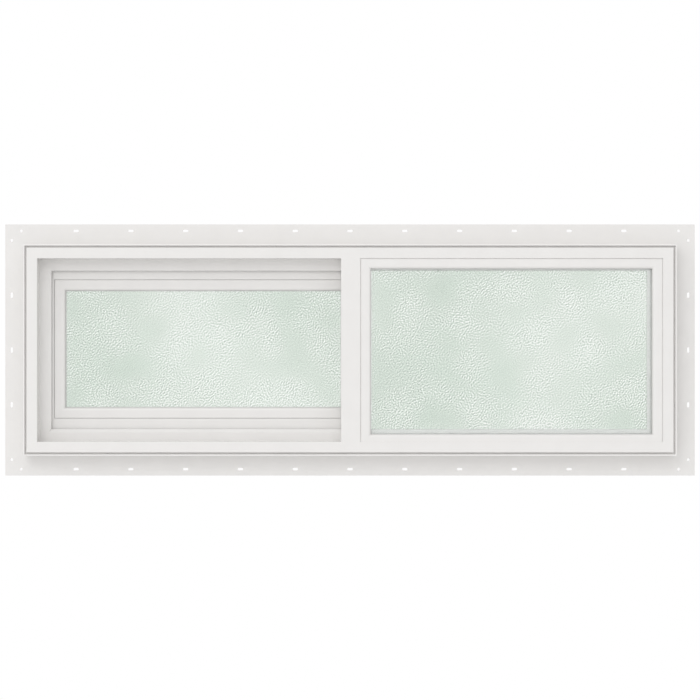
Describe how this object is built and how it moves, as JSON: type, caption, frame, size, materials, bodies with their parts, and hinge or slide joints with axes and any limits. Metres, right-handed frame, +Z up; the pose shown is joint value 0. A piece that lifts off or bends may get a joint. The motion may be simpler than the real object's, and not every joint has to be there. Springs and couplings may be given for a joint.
{
  "type": "horizontal sliding window",
  "caption": "Horizontal sliding window in white vinyl with patterned privacy glass: a sliding sash beside a fixed light, in a welded frame with a slotted nailing flange.",
  "frame": {"origin": "the back face of the sill's nailing flange, halfway along it, where the window lies against the wall", "axes": "X runs across the window to the right as seen from outdoors, Y from outdoors to indoors, Z up"},
  "size_m": [0.9588, 0.073, 0.3493],
  "materials": {
    "white_vinyl": "satin",
    "patterned_glass": "rolled pattern",
    "spacer": "mill",
    "glazing_seal": "matte",
    "glazing_tape": "matte",
    "pile": "fuzzy",
    "track": "mill",
    "roller": "matte",
    "latch": "satin"
  },
  "bodies": {
    "root": {"frame_head": "white_vinyl", "frame_sill": "white_vinyl", "frame_left_jamb": "white_vinyl", "frame_right_jamb": "white_vinyl", "meeting_post": "white_vinyl", "fixed_bead_top": "white_vinyl", "fixed_bead_bottom": "white_vinyl", "fixed_bead_left": "white_vinyl", "fixed_bead_right": "white_vinyl", "sash_top_rail": "white_vinyl", "sash_bottom_rail": "white_vinyl", "sash_lock_stile": "white_vinyl", "sash_meeting_stile": "white_vinyl", "sash_bead_top": "white_vinyl", "sash_bead_bottom": "white_vinyl", "sash_bead_left": "white_vinyl", "sash_bead_right": "white_vinyl", "fixed_glass_outdoor": "patterned_glass", "fixed_glass_indoor": "patterned_glass", "sash_glass_outdoor": "patterned_glass", "sash_glass_indoor": "patterned_glass", "fixed_glass_spacer": "spacer", "sash_glass_spacer": "spacer", "fixed_glazing_seal": "glazing_seal", "sash_glazing_seal": "glazing_seal", "fixed_glazing_tape": "glazing_tape", "sash_glazing_tape": "glazing_tape", "pile_top": "pile", "pile_bottom": "pile", "pile_lock_stile": "pile", "sill_roller_track": "track", "sash_roller_left": "roller", "sash_roller_right": "roller", "latch_body": "latch", "latch_lever": "latch"}
  },
  "joints": []
}
